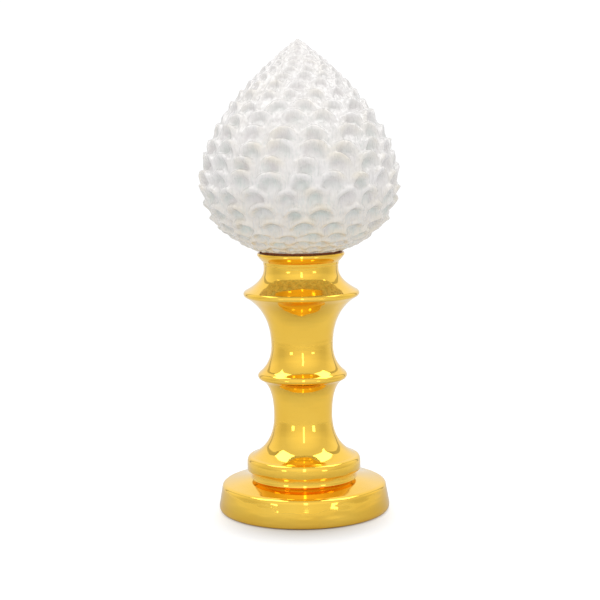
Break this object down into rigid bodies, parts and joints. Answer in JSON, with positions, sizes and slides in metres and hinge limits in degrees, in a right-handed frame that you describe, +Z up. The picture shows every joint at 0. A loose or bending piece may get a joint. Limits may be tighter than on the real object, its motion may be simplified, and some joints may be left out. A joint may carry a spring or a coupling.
{
  "type": "finial",
  "caption": "Pine cone finial: a white glazed cone covered with raised spoon-shaped scales, on a turned gold stand with a round stepped foot.",
  "frame": {"origin": "centre of the underside of the foot", "axes": "+Z up along the turning axis, to the tip of the cone; +Y away from the viewer of the front"},
  "size_m": [0.191, 0.1925, 0.4496],
  "materials": {
    "white_glaze": "thick glossy white glaze, a little greener where it pools in the hollows",
    "gold_lustre": "mirror-bright gold lustre over a smooth glaze"
  },
  "bodies": {
    "root": {"pine_cone": "white_glaze", "stand": "gold_lustre"}
  },
  "joints": []
}
